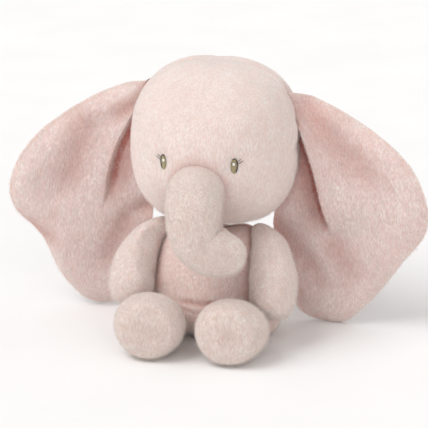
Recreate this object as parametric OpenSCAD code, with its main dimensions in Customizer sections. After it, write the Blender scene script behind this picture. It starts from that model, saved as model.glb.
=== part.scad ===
// Sitting plush elephant, sewn from plush panels over loose filling.
// +Z is up, the toy faces -Y, its own left is +X, and it sits on the plane z = 0.

/* [Head] */
// Width across the cheeks
head_w = 169; // [155:1:171]
// Height from chin to crown
head_h = 169; // [155:1:171]
// Height of the middle of the head
head_z = 188; // [187:1:200]
// How far back the seam that carries the ears is
head_seam_y = 33; // [28:1:38]
// Depth of the face in front of that seam
face_depth = 96; // [86:1:98]
// Depth of the back of the head behind that seam
nape_depth = 72; // [60:1:80]
// Distance between the middles of the eyes
eye_spacing = 73; // [60:1:84]
// Height of the middle of the eyes
eye_z = 186; // [180:1:200]
// Height of an embroidered eye
eye_h = 15; // [10:1:18]
// Width of an embroidered eye
eye_w = 7.6; // [5:0.1:10]

/* [Trunk] */
// Width of the trunk where it joins the face
trunk_root_w = 57; // [48:1:60]
// Width of the trunk near its tip
trunk_tip_w = 41; // [34:1:46]

/* [Ears] */
// Thickness of a whole ear at its middle
ear_t = 10; // [8:1:12]

/* [Torso] */
// Height of the torso up to the neck
torso_h = 98; // [96:0.5:99]
// Depth of the belly in front of the side seams
belly_depth = 55; // [48:1:57]
// Depth of the back behind the side seams
back_depth = 52; // [44:1:58]
// How far the torso leans back for each unit of height
torso_lean = 0.2; // [0.16:0.01:0.22]

/* [Limbs] */
// Width of an arm at the paw
paw_w = 51; // [44:1:52]
// Width of an arm at the shoulder
shoulder_w = 36; // [30:1:38]
// Distance between the middles of the two soles
sole_spacing = 79; // [78:1:84]
// Width of a sole
sole_w = 63; // [56:1:64]
// Width of a leg at the hip
hip_w = 48; // [44:1:52]
// Distance of the sole seams in front of the origin
sole_y = 106; // [102:1:108]
// Width of the tail
tail_w = 11; // [8:1:13]

/* [Cloth] */
// Thickness of the plush, backing and pile
plush_t = 2; // [1.6:0.1:2.4]

/* [Hidden] */

pale_plush = [0.92, 0.87, 0.85];
pink_plush = [0.87, 0.77, 0.74];
rose_plush = [0.84, 0.75, 0.72];
fibre_white = [0.95, 0.94, 0.92];
pellet_grey = [0.75, 0.77, 0.78];
thread_pink = [0.80, 0.66, 0.63];
thread_gold = [0.62, 0.57, 0.38];
thread_brown = [0.25, 0.16, 0.10];
thread_white = [0.97, 0.96, 0.93];

fill_gap = 0.5;                       // between a cover and its filling
fill_inset = plush_t + fill_gap;
dome_steps = 6;                       // rings from the middle of a panel to its seam
limb_steps = 11;                      // rings along a limb
limb_angle = 20;                      // turn between the points of a limb's ring
first_turn = 8;                       // where the first ring of a rounded end lies

// ---- Points and curves ----

function unit(v) = v / norm(v);
function reverse(list) = [for (i = [len(list) - 1:-1:0]) list[i]];
function all_but_first(list) = [for (i = [1:len(list) - 1]) list[i]];
function power(v, p) = sign(v) * pow(abs(v), p);
function superellipse(half_w, half_h, p, turn) =
    [for (a = [0:turn:359]) [half_w * power(cos(a), 2 / p), half_h * power(sin(a), 2 / p)]];

// Smooth curve from b to c, with a and d as the neighbours
function curve(a, b, c, d, t) =
    0.5 * (2 * b + (c - a) * t + (2 * a - 5 * b + 4 * c - d) * t * t
           + (3 * b - a - 3 * c + d) * t * t * t);
function closed_curve(points, steps) =
    let (n = len(points))
    [for (i = [0:n - 1], s = [0:steps - 1])
        curve(points[(i + n - 1) % n], points[i], points[(i + 1) % n], points[(i + 2) % n], s / steps)];
// Point at share t of an open curve
function along(points, t) =
    let (last = len(points) - 1, at = min(t, 0.9999) * last, i = floor(at))
    curve(points[max(i - 1, 0)], points[i], points[i + 1], points[min(i + 2, last)], at - i);

// ---- Solids from rings ----

// Closed solid through rings of equally many points, closed by a fan at both ends
module loft(rings) {
    n = len(rings[0]);
    count = len(rings);
    sides = [for (k = [0:count - 2], i = [0:n - 1])
        let (a = k * n + i, b = k * n + (i + 1) % n)
        each [[a, b, b + n], [a, b + n, a + n]]];
    first = [for (i = [0:n - 1]) [(i + 1) % n, i, count * n]];
    last = [for (i = [0:n - 1]) [i + (count - 1) * n, (i + 1) % n + (count - 1) * n, count * n + 1]];
    polyhedron(
        points = concat([for (ring = rings) each ring], [middle(rings[0]), middle(rings[count - 1])]),
        faces = concat(first, sides, last)
    );
}

function middle(ring) = [for (i = [0:2]) [for (p = ring) p[i]] * [for (p = ring) 1 / len(ring)]];

// Curved sheet between two grids of the same size, the outer and the inner side of a panel
module sheet(outer, inner) {
    c = len(outer[0]);
    n = 2 * c;
    count = len(outer);
    rows = [for (k = [0:count - 1]) concat(outer[k], reverse(inner[k]))];
    sides = [for (k = [0:count - 2], i = [0:n - 1])
        let (a = k * n + i, b = k * n + (i + 1) % n)
        each [[a, b, b + n], [a, b + n, a + n]]];
    first = [for (i = [0:c - 2]) each [[i + 1, i, n - 1 - i], [i + 1, n - 1 - i, n - 2 - i]]];
    end = (count - 1) * n;
    last = [for (face = first) [face[1] + end, face[0] + end, face[2] + end]];
    polyhedron(points = [for (row = rows) each row], faces = concat(first, sides, last));
}

// ---- Cushions: an outline [x, z] swelling forwards and backwards about a seam ----

// Rings from the middle of one side to the seam; depth is negative towards the front.
// place moves each point [x, y, z] to where it lies in the toy, given the inset.
function dome(outline, hub, depth, inset, place) =
    [for (k = [0:dome_steps])
        let (turn = first_turn + (90 - first_turn) * k / dome_steps)
        [for (p = outline)
            let (
                edge = (p - hub) * (1 - inset / norm(p - hub)),
                at = hub + edge * sin(turn)
            )
            place([at.x, (depth - sign(depth) * inset) * cos(turn), at.y], inset)]];

module panel(outline, hub, depth, place) {
    outer = dome(outline, hub, depth, 0, place);
    inner = dome(outline, hub, depth, plush_t, place);
    rings = concat(outer, reverse(inner));
    loft(depth < 0 ? rings : reverse(rings));
}

module filling(outline, hub, front, back, place) {
    face = dome(outline, hub, -front, fill_inset, place);
    rear = dome(outline, hub, back, fill_inset, place);
    loft(concat(face, all_but_first(reverse(rear))));
}

// ---- Limbs: a radius that changes along a curve, with rounded ends ----

// A limb is [points of its middle line, [[share, radius], ...], share rounded at the root, at the tip,
// direction that its panels' seams face, thickness as a share of its width]
function end_round(t, share) = t < share ? sqrt(1 - pow(1 - t / share, 2)) : 1;
function limb_ring(limb, t, inset, angles) =
    let (
        path = limb[0],
        near = along(path, max(t - 0.02, 0)),
        far = along(path, min(t + 0.02, 1)),
        ahead = unit(far - near),
        side = unit(cross(ahead, limb[4])),
        up = cross(side, ahead),
        trim = inset / norm(path[len(path) - 1] - path[0]),
        r = (lookup(t, limb[1]) - inset) * end_round(t, limb[2]) * end_round(1 - t, limb[3])
    )
    [for (a = angles) along(path, trim + t * (1 - 2 * trim)) + r * (side * limb[5] * cos(a) + up * sin(a))];
function limb_rings(limb, inset, angles) =
    [for (k = [0:limb_steps])
        let (turn = first_turn + (180 - 2 * first_turn) * k / limb_steps)
        limb_ring(limb, (1 - cos(turn)) / 2, inset, angles)];

module limb_panel(limb, from) {
    angles = [from:limb_angle:from + 180];
    sheet(limb_rings(limb, 0, angles), limb_rings(limb, plush_t, angles));
}

module limb_filling(limb) {
    loft(limb_rings(limb, fill_inset, [0:limb_angle:359]));
}

// ---- Head ----

head_outline = superellipse(head_w / 2, head_h / 2, 2.4, 11.25);
head_place = function (p, inset) [p.x, p.y + head_seam_y, p.z + head_z];

module head_front_panel() {
    color(pale_plush) panel(head_outline, [0, 0], -face_depth, head_place);
}

module head_back_panel() {
    color(pale_plush) panel(head_outline, [0, 0], nape_depth, head_place);
}

module head_filling() {
    color(fibre_white) filling(head_outline, [0, 0], face_depth, nape_depth, head_place);
}

// ---- Eyes ----

eye_lift = 0.3;                       // how far the embroidery stands off the panel
thread_t = 1;
highlight_r = 1.6;
lash_l = 6;
lash_w = 1.1;
eye_share = eye_spacing / head_w;     // of the way from the middle of the face to its side
eye_y = head_seam_y - face_depth * sqrt(1 - eye_share * eye_share);
// Turn of the face's surface at an eye
eye_turn = atan2(eye_spacing / 2 / pow(head_w / 2, 2), (head_seam_y - eye_y) / pow(face_depth, 2));

// Draws on the face at an eye, with X away from the nose, Y up and Z out of the face
module on_eye(side) {
    translate([side * eye_spacing / 2, eye_y, eye_z])
        rotate([0, 0, side * eye_turn])
        rotate([90, 0, 0])
        translate([0, 0, eye_lift])
        scale_side(side)
        children();
}

module scale_side(side) {
    if (side < 0) mirror([1, 0, 0]) children();
    else children();
}

module eye_gold(side) {
    color(thread_gold) on_eye(side)
        linear_extrude(thread_t) polygon(superellipse(eye_w / 2, eye_h / 2, 2, 15));
}

// Dark stitches along the upper outer edge, and two lashes
module eye_brown(side) {
    edge = [for (a = [-20:10:120]) [(eye_w / 2 + 0.1) * cos(a), (eye_h / 2 + 0.1) * sin(a)]];
    rim = [for (a = [120:-10:-20]) [(eye_w / 2 + 0.9) * cos(a), (eye_h / 2 + 0.9) * sin(a)]];
    color(thread_brown) on_eye(side) linear_extrude(thread_t) {
        polygon(concat(edge, rim));
        for (lash = [[22, 32], [46, 44]])
            translate([(eye_w / 2 + 0.5) * cos(lash[0]), (eye_h / 2 + 0.5) * sin(lash[0])])
                rotate(lash[1])
                polygon([[0, -lash_w / 2], [lash_l, 0], [0, lash_w / 2]]);
    }
}

module eye_white(side) {
    color(thread_white) on_eye(side)
        translate([-0.6, eye_h * 0.14, thread_t])
        cylinder(h = 0.4, r = highlight_r, $fn = 32);
}

// ---- Trunk ----

trunk_root_y = head_seam_y - face_depth * 0.93;
trunk_path = [
    [0, trunk_root_y - 3, 161], [-1, -78, 155], [1, -88, 135],
    [11, -89, 116], [30, -87, 107], [54, -84, 107]
];
trunk_limb = [
    trunk_path,
    [[0, trunk_root_w / 2], [0.3, trunk_root_w / 2 - 1.5],
     [0.6, trunk_root_w / 2 - 5], [1, trunk_tip_w / 2]],
    0.2, 0.2, [0, -1, 1], 1
];

module trunk_left_panel() {
    color(pink_plush) limb_panel(trunk_limb, 90);
}

module trunk_right_panel() {
    color(pink_plush) limb_panel(trunk_limb, -90);
}

module trunk_filling() {
    color(fibre_white) limb_filling(trunk_limb);
}

// ---- Ears ----

// Outline of the toy's left ear, from the top of the root out and round to the free inner edge
ear_points = [
    [72.5, 245], [116, 228], [166, 199], [203, 163], [214, 121], [197, 86], [172, 50],
    [150, 17], [122, 2], [92, 13], [70, 60], [63, 112], [82, 148], [87.5, 187], [83.5, 222]
];
ear_outline = reverse(closed_curve(ear_points, 3));
ear_hub = [140, 130];
ear_y = head_seam_y + 2;
ear_forward = 24;                     // how far the tip lies in front of the root
ear_reach = 150;                      // from the root to the tip

// The ear curves forwards from its root
left_ear_place = function (p, inset)
    [p.x, p.y + ear_y - ear_forward * pow((p.x - ear_points[0].x) / ear_reach, 2), p.z];

module ear_front(side) {
    color(rose_plush) scale_side(side) panel(ear_outline, ear_hub, -ear_t / 2, left_ear_place);
}

module ear_back(side) {
    color(rose_plush) scale_side(side) panel(ear_outline, ear_hub, ear_t / 2, left_ear_place);
}

module ear_wadding(side) {
    color(fibre_white) scale_side(side) filling(ear_outline, ear_hub, ear_t / 2, ear_t / 2, left_ear_place);
}

// ---- Torso ----

torso_y = -8;                         // where the side seams meet the ground
torso_right = [[0, torso_h], [25, 94.5], [43, 84], [55, 68], [66, 45], [75, 22], [63, 0], [34, -7]];
torso_left = [for (i = [len(torso_right) - 1:-1:1]) [-torso_right[i].x, torso_right[i].y]];
torso_outline = reverse(closed_curve(concat(torso_right, [[0, -8]], torso_left), 2));
torso_hub = [0, 42];
pellet_top = 19;                      // the pellet bag fills the seat up to here

function in_torso(p, low) = [p.x, p.y + torso_y + torso_lean * p.z, max(p.z, low)];
torso_place = function (p, inset) in_torso(p, inset);
torso_filling_place = function (p, inset) in_torso(p, pellet_top + fill_gap);

module torso_front_panel() {
    color(pink_plush) panel(torso_outline, torso_hub, -belly_depth, torso_place);
}

module torso_back_panel() {
    color(pink_plush) panel(torso_outline, torso_hub, back_depth, torso_place);
}

module torso_filling() {
    color(fibre_white) filling(torso_outline, torso_hub, belly_depth, back_depth, torso_filling_place);
}

pellet_bag_w = 96;
pellet_bag_d = 52;

// Flat lens-shaped bag lying on the seat
module seat_pellet_bag() {
    low = fill_inset;
    middle_z = (pellet_top + low) / 2;
    color(pellet_grey) loft([for (turn = [78:-26:-78])
        [for (p = superellipse(pellet_bag_w / 2, pellet_bag_d / 2, 2.6, 18))
            [p.x * power(cos(turn), 0.6), torso_y + 5 + p.y * power(cos(turn), 0.6),
             middle_z + (pellet_top - low) / 2 * sin(turn)]]]);
}

// ---- Neck ----

neck_y = 16;
neck_z = 97.1;
neck_ring_r = 19;
neck_thread_r = 1.3;

// Ring of thread that draws the head and the torso together
module neck_seam() {
    color(thread_pink) translate([0, neck_y, neck_z + neck_thread_r])
        rotate_extrude($fn = 48) translate([neck_ring_r, 0]) circle(neck_thread_r, $fn = 16);
}

// ---- Arms ----

arm_flatness = 0.72;
left_arm = [
    [[47, 2, 108], [61, -15, 88], [75, -38, 60], [83, -52, 38]],
    [[0, shoulder_w / 2], [0.3, shoulder_w / 2 + 5], [0.7, paw_w / 2], [1, paw_w / 2]],
    0.16, 0.34, [0.77, 0.64, 0], arm_flatness
];

module arm_outer(side) {
    color(pink_plush) scale_side(side) limb_panel(left_arm, -90);
}

module arm_inner(side) {
    color(pink_plush) scale_side(side) limb_panel(left_arm, 90);
}

module arm_filling(side) {
    color(fibre_white) scale_side(side) limb_filling(left_arm);
}

// ---- Legs ----

leg_back_y = -56;                     // back of the leg, just clear of the torso
leg_root_shift = 3;                   // the hips are a little wider apart than the soles
leg_profile = [[0, hip_w / 2], [0.3, hip_w / 2 + 2.5], [0.7, sole_w / 2 + 1], [1, sole_w / 2]];
leg_clearance = 0.2;                  // under the foot

// Rings of the toy's left leg, from the hip forwards to the seam of the sole
function leg_rings(inset) =
    [for (k = [0:dome_steps])
        let (
            t = 1 - cos(first_turn + (90 - first_turn) * k / dome_steps),
            full = lookup(t, leg_profile),
            r = (full - inset) * end_round(t, 0.3),
            x = sole_spacing / 2 + leg_root_shift * (1 - t),
            y = leg_back_y - inset + t * (-sole_y - leg_back_y + inset)
        )
        [for (a = [0:-15:-359]) [x + r * cos(a), y, full + leg_clearance + r * sin(a)]]];

module leg_tube(side) {
    color(pink_plush) scale_side(side) loft(concat(leg_rings(0), reverse(leg_rings(plush_t))));
}

module leg_filling(side) {
    color(fibre_white) scale_side(side) loft(leg_rings(fill_inset));
}

sole_crown = 3;                       // how far the filling pushes the sole out
sole_edge = 0.8;                      // thickness left at the sole's seam

// Round crowned sole that closes the front of the leg
module leg_sole(side) {
    r = sole_w / 2;
    rise = plush_t + sole_crown - sole_edge;
    section = [for (t = [0:0.2:1]) [r * t, sole_edge + rise * sqrt(1 - t * t)]];
    color(pale_plush) scale_side(side)
        translate([sole_spacing / 2, -sole_y, r + leg_clearance])
        rotate([90, 0, 0])
        rotate_extrude($fn = 48) polygon(concat([[0, 0], [r, 0]], reverse(section)));
}

// ---- Tail ----

tail_y = 52;                          // just behind the back
tail_limb = [
    [[0, tail_y, 34], [0, tail_y + 11, 31], [0, tail_y + 20, 22], [0, tail_y + 24, 10]],
    [[0, tail_w / 2], [0.6, tail_w / 2 - 1], [1, tail_w / 2 - 0.5]],
    0.1, 0.12, [1, 0, 0], 1
];

module tail() {
    color(pink_plush) loft(limb_rings(tail_limb, 0, [0:limb_angle * 2:359]));
}

// ---- Closing seam and label ----

stitch_count = 7;
stitch_pitch = 4;
stitch_r = 0.4;
stitch_l = 5;

// Depth of the back of the torso at height z, on its middle line
function back_y(z) =
    torso_y + torso_lean * z + back_depth * sqrt(1 - pow((z - torso_hub.y) / (torso_h - torso_hub.y), 2));

// Hand-sewn ladder stitches down the middle of the back
module closing_stitches() {
    color(thread_pink) for (i = [0:stitch_count - 1])
        let (z = 52 + i * stitch_pitch)
        translate([-stitch_l / 2, back_y(z) + 0.9, z])
        rotate([0, 90, 0]) cylinder(h = stitch_l, r = stitch_r, $fn = 16);
}

label_l = 14;
label_h = 18;
label_t = 0.5;
label_gap = 0.6;

// Blank ribbon folded in two, caught in the side seam
module care_label() {
    edge_x = 75;
    z = 15;
    y = torso_y + torso_lean * z;
    color(thread_white) translate([-edge_x - label_l, y, z]) difference() {
        cube([label_l, 2 * label_t + label_gap, label_h]);
        translate([label_t, label_t, -1]) cube([label_l, label_gap, label_h + 2]);
    }
}

head_front_panel();
head_back_panel();
head_filling();
trunk_left_panel();
trunk_right_panel();
trunk_filling();
ear_front(1);  // ear_left_front
ear_back(1);  // ear_left_back
ear_wadding(1);  // ear_left_wadding
ear_front(-1);  // ear_right_front
ear_back(-1);  // ear_right_back
ear_wadding(-1);  // ear_right_wadding
torso_front_panel();
torso_back_panel();
torso_filling();
seat_pellet_bag();
neck_seam();
arm_outer(1);  // arm_left_outer
arm_inner(1);  // arm_left_inner
arm_filling(1);  // arm_left_filling
arm_outer(-1);  // arm_right_outer
arm_inner(-1);  // arm_right_inner
arm_filling(-1);  // arm_right_filling
leg_tube(1);  // leg_left_tube
leg_sole(1);  // leg_left_sole
leg_filling(1);  // leg_left_filling
leg_tube(-1);  // leg_right_tube
leg_sole(-1);  // leg_right_sole
leg_filling(-1);  // leg_right_filling
tail();
closing_stitches();
care_label();
eye_gold(1);  // eye_left_gold_thread
eye_brown(1);  // eye_left_brown_thread
eye_white(1);  // eye_left_white_thread
eye_gold(-1);  // eye_right_gold_thread
eye_brown(-1);  // eye_right_brown_thread
eye_white(-1);  // eye_right_white_thread
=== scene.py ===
"""Looks of a seated plush elephant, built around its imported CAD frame.

Lengths are millimetres until a mesh is made, which is in metres. X points to the toy's left, the face
looks along -Y and Z is up. Each cover starts as a closed form, is filled by a short cloth simulation,
and then gets its seams, folds and pile.
"""

import math

import bpy
import numpy as np
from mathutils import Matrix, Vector
from mathutils.bvhtree import BVHTree


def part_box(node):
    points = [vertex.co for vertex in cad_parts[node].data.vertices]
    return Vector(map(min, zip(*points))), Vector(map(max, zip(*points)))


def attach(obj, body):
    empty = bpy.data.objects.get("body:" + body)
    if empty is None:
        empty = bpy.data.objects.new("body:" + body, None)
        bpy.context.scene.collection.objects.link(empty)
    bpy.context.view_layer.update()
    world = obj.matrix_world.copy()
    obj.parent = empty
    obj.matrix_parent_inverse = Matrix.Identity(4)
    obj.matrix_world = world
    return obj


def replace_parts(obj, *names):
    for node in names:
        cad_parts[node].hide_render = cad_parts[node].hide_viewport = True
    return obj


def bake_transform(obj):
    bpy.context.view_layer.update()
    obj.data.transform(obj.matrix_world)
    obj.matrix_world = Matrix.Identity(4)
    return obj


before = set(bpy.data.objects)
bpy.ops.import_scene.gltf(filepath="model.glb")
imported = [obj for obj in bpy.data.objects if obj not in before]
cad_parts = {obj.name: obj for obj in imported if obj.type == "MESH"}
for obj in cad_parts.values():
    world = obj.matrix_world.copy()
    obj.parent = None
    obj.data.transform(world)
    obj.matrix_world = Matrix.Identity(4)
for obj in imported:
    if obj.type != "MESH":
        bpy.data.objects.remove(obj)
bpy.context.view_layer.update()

MM = 0.001
# The brushed face of the fabric lies this far inside the CAD surface, and loose fibres fill the rest
SKIN = 0.8
FLOOR_GAP = 0.4  # how far the covers stay above the floor


# ---- Camera ----

CAMERA_TURN = math.radians(12.26)  # to the toy's left of straight ahead
CAMERA_RISE = math.radians(17.41)
CAMERA_DISTANCE = 2.0
CAMERA_LENS = 168.2
CAMERA_AIM = Vector((0, 0, 0.12))
CAMERA_OFFSET = (0.00383, -0.00032)  # to the right and up, so that the toy sits as it does in the photograph


def add_camera():
    toward = Vector((
        math.sin(CAMERA_TURN) * math.cos(CAMERA_RISE),
        -math.cos(CAMERA_TURN) * math.cos(CAMERA_RISE),
        math.sin(CAMERA_RISE),
    ))
    right = Vector((math.cos(CAMERA_TURN), math.sin(CAMERA_TURN), 0))
    up = toward.cross(right)
    aim = CAMERA_AIM + CAMERA_OFFSET[0] * right + CAMERA_OFFSET[1] * up
    data = bpy.data.cameras.new("Camera")
    data.lens = CAMERA_LENS
    data.clip_end = 20
    camera = bpy.data.objects.new("Camera", data)
    camera.location = aim + CAMERA_DISTANCE * toward
    camera.rotation_euler = toward.to_track_quat("Z", "Y").to_euler()
    bpy.context.scene.collection.objects.link(camera)
    bpy.context.scene.camera = camera


# ---- Random fields ----

def lattice_value(cell, seed):
    """A repeatable value from -1 to 1 for each whole-numbered cell."""
    mixed = cell[:, 0] * 73856093 ^ cell[:, 1] * 19349663 ^ cell[:, 2] * 83492791 ^ seed * 26544357
    mixed = (mixed ^ (mixed >> 13)) * 1274126177
    mixed = mixed ^ (mixed >> 16)
    return (mixed & 0xFFFF) / 32767.5 - 1


def wool(points, size, seed):
    """A smooth random field, from about -1 to 1, whose lumps are about size across."""
    at = np.asarray(points) / size
    low = np.floor(at).astype(np.int64)
    part = at - low
    eased = part * part * (3 - 2 * part)
    total = np.zeros(len(at))
    for corner in np.ndindex(2, 2, 2):
        share = np.prod(np.where(corner, eased, 1 - eased), axis=1)
        total += share * lattice_value(low + np.array(corner), seed)
    return total


COARSE_TUFT, FINE_TUFT = 3.8, 2.0  # sizes
COARSE_SHARE, FINE_SHARE = 0.3, 0.7
TUFT_SQUEEZE = 0.55  # a tuft is drawn out along the comb, because the field is squeezed by this share
WANDER_SIZE = 9


def tufts(points, comb, seed):
    """Height of the pile's tufts, about -1 to 1: lumps drawn out along the way the pile is combed."""
    comb = np.asarray(comb, float) / np.linalg.norm(comb)
    drawn = points - np.outer(points @ comb, comb) * TUFT_SQUEEZE
    wander = np.column_stack([wool(points, WANDER_SIZE, seed + k) for k in (11, 12, 13)])
    coarse = wool(drawn + 1.5 * wander, COARSE_TUFT, seed)
    fine = wool(drawn + wander, FINE_TUFT, seed + 1)
    return COARSE_SHARE * coarse + FINE_SHARE * fine


# ---- Curves and closed forms ----

def smooth_curve(points, share, closed=False):
    """Points on a smooth curve through the given ones, at shares of the way from 0 to 1."""
    points = np.asarray(points, float)
    count = len(points)
    at = np.clip(share, 0, 0.999999) * (count if closed else count - 1)
    first = at.astype(int)
    t = (at - first)[:, None]
    picks = [first + k for k in (-1, 0, 1, 2)]
    picks = [p % count if closed else np.clip(p, 0, count - 1) for p in picks]
    a, b, c, d = (points[p] for p in picks)
    return (
        b + (c - a) * t / 2
        + (2 * a - 5 * b + 4 * c - d) * t**2 / 2
        + (3 * b - a - 3 * c + d) * t**3 / 2
    )


def quad_ball(counts):
    """Unit directions all over a ball, and the quads that join them, from a box cut into counts squares."""
    keys, corners, quads = {}, [], []

    def corner(cell):
        if cell not in keys:
            keys[cell] = len(corners)
            corners.append([2 * c / n - 1 for c, n in zip(cell, counts)])
        return keys[cell]

    for axis in range(3):
        u, v = (axis + 1) % 3, (axis + 2) % 3
        for end in (0, counts[axis]):
            for i, j in np.ndindex(counts[u], counts[v]):
                square = []
                for du, dv in ((0, 0), (1, 0), (1, 1), (0, 1)):
                    cell = [0, 0, 0]
                    cell[axis], cell[u], cell[v] = end, i + du, j + dv
                    square.append(corner(tuple(cell)))
                quads.append(square if end else square[::-1])
    box = np.array(corners)
    a, b = box[:, [1, 2, 0]] ** 2, box[:, [2, 0, 1]] ** 2
    return box * np.sqrt(1 - a / 2 - b / 2 + a * b / 3), quads


def outline_reach(outline, hub):
    """How far a closed outline lies from its hub, as a function of the angle about the hub."""
    spokes = smooth_curve(outline, np.linspace(0, 1, 720, endpoint=False), closed=True) - hub
    angle = np.arctan2(spokes[:, 1], spokes[:, 0])
    order = np.argsort(angle)
    length = np.hypot(spokes[:, 0], spokes[:, 1])
    return lambda a: np.interp(a, angle[order], length[order], period=2 * math.pi)


def cushion_form(ball, reach, hub, front, back, fullness=1.0):
    """Two domes about an outline in X and Z. A fullness below 1 gives flatter faces and a rounder rim."""
    rim = np.hypot(ball[:, 0], ball[:, 2])
    angle = np.arctan2(ball[:, 2], ball[:, 0])
    out = reach(angle) * rim
    depth = np.where(ball[:, 1] < 0, front, back)
    y = np.sign(ball[:, 1]) * np.abs(ball[:, 1]) ** fullness * depth
    return np.column_stack([hub[0] + out * np.cos(angle), y, hub[1] + out * np.sin(angle)])


def end_round(t, share):
    """Radius, as a share of the full one, of a limb whose end is rounded over that share of its length."""
    return np.sqrt(np.clip(1 - np.clip(1 - t / share, 0, 1) ** 2, 0, 1))


def limb_form(ball, path, radii, root_round, tip_round, facing, flatness):
    """A stuffed limb along a path: a ball's X runs from its root to its tip."""
    t = (1 + ball[:, 0]) / 2
    angle = np.arctan2(ball[:, 2], ball[:, 1])
    ahead = smooth_curve(path, np.clip(t + 0.02, 0, 1)) - smooth_curve(path, np.clip(t - 0.02, 0, 1))
    ahead /= np.linalg.norm(ahead, axis=1)[:, None]
    side = np.cross(ahead, facing)
    side /= np.linalg.norm(side, axis=1)[:, None]
    up = np.cross(side, ahead)
    shares, sizes = zip(*radii)
    r = (np.interp(t, shares, sizes) - SKIN) * end_round(t, root_round) * end_round(1 - t, tip_round)
    ring = side * (flatness * r * np.cos(angle))[:, None] + up * (r * np.sin(angle))[:, None]
    return smooth_curve(path, t) + ring


def mesh_object(name, points, faces):
    """A linked object with smooth faces; points are in millimetres."""
    mesh = bpy.data.meshes.new(name)
    mesh.from_pydata((np.asarray(points) * MM).tolist(), [], [list(map(int, f)) for f in faces])
    mesh.shade_smooth()
    made = bpy.data.objects.new(name, mesh)
    bpy.context.scene.collection.objects.link(made)
    return made


def read_points(mesh):
    co = np.empty(len(mesh.vertices) * 3, np.float32)
    mesh.vertices.foreach_get("co", co)
    return co.reshape(-1, 3).astype(float) / MM


def write_points(mesh, points):
    mesh.vertices.foreach_set("co", (points * MM).astype(np.float32).ravel())
    mesh.update()


def read_normals(mesh):
    normals = np.empty(len(mesh.vertices) * 3, np.float32)
    mesh.vertex_normals.foreach_get("vector", normals)
    return normals.reshape(-1, 3).astype(float)


def surface_tree(made):
    mesh = made.data
    return BVHTree.FromPolygons([v.co / MM for v in mesh.vertices], [p.vertices for p in mesh.polygons])


GROUP_LEVELS = 20


def set_group(made, name, weights):
    """A vertex group with these weights from 0 to 1."""
    group = made.vertex_groups.new(name=name)
    levels = np.round(np.clip(weights, 0, 1) * GROUP_LEVELS).astype(int)
    for level in np.unique(levels):
        group.add(np.flatnonzero(levels == level).tolist(), float(level) / GROUP_LEVELS, "REPLACE")


def bell(distance, width):
    """1 at distance 0, falling to nothing a few widths away."""
    return np.exp(-((distance / width) ** 2))


def ease(t):
    t = np.clip(t, 0, 1)
    return t * t * (3 - 2 * t)


# ---- Filling: every cover swells at once as cloth, while its seams draw in ----

FILL_FRAMES = 14
SEAM_DRAW = 0.08  # how much shorter the cloth gets at its seams
SEAM_DRAW_W = 5
SEAMLESS = 99.0  # a distance that no seam reaches across
PRESS_REACH = 12  # gap within which one cover shades another
covers = {}


def seamless(points, ball):
    return np.full(len(points), SEAMLESS)


def add_cover(name, ball_counts, form, seam, pressure, cap):
    """An unfilled cover. form turns ball directions into points, seam gives distances from its seams, and
    cap is about how far its pressure may move it, in millimetres."""
    ball, quads = quad_ball(ball_counts)
    points = form(ball)
    if encloses(points, quads) < 0:
        quads = [quad[::-1] for quad in quads]
    made = mesh_object(name, points, quads)
    set_group(made, "seam", bell(seam(points, ball), SEAM_DRAW_W))
    covers[name] = {"object": made, "pressure": pressure, "cap": cap}
    return made


def encloses(points, quads):
    """The volume that the quads enclose, negative if they face inwards."""
    a, b, c, d = (points[np.array(quads)[:, k]] for k in range(4))
    return float(np.sum(np.cross(a, b) * c + np.cross(a, c) * d)) / 6


def add_cloth(made, pressure):
    settings = made.modifiers.new("Cloth", "CLOTH").settings
    settings.quality = 5
    settings.mass = 0.1
    settings.tension_stiffness = 12
    settings.compression_stiffness = 12
    settings.shear_stiffness = 4
    settings.bending_stiffness = 0.2
    settings.use_pressure = True
    settings.uniform_pressure_force = pressure
    settings.vertex_group_shrink = "seam"
    settings.shrink_min = 0
    settings.shrink_max = SEAM_DRAW
    settings.effector_weights.gravity = 0


def fill_covers():
    """Runs the cloth simulation of all covers together and keeps its result in their meshes."""
    scene = bpy.context.scene
    for cover in covers.values():
        add_cloth(cover["object"], cover["pressure"])
    for number in range(1, FILL_FRAMES + 1):
        scene.frame_set(number)
    graph = bpy.context.evaluated_depsgraph_get()
    for cover in covers.values():
        made = cover["object"]
        filled = made.evaluated_get(graph).to_mesh()
        move = read_points(filled) - read_points(made.data)
        made.evaluated_get(graph).to_mesh_clear()
        length = np.linalg.norm(move, axis=1)
        move *= (cover["cap"] * np.tanh(length / cover["cap"]) / np.maximum(length, 1e-6))[:, None]
        cover["filled"] = read_points(made.data) + move
    for cover in covers.values():
        made = cover["object"]
        made.modifiers.clear()
        before, after = read_points(made.data), cover["filled"]
        grown = np.ptp(before, axis=0) / np.ptp(after, axis=0)
        write_points(made.data, (after - after.min(axis=0)) * grown + before.min(axis=0))
    scene.frame_set(1)


def refine(made, levels=2):
    """Replaces the mesh by its smooth subdivision, fine enough to hold the pile's relief."""
    made.vertex_groups.clear()
    subdivision = made.modifiers.new("Subdivision", "SUBSURF")
    subdivision.levels = subdivision.render_levels = levels
    graph = bpy.context.evaluated_depsgraph_get()
    fine = bpy.data.meshes.new_from_object(made.evaluated_get(graph))
    made.modifiers.clear()
    made.data = fine
    fine.shade_smooth()


def emboss(made, height):
    """Moves each point along its normal by height, in millimetres."""
    mesh = made.data
    write_points(mesh, read_points(mesh) + read_normals(mesh) * height[:, None])


def keep_shade(made, name, share):
    """Keeps a share for each point, which the pile's material reads for its colour."""
    made.data.attributes.new(name, "FLOAT", "POINT").data.foreach_set("value", share.astype(np.float32))


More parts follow.
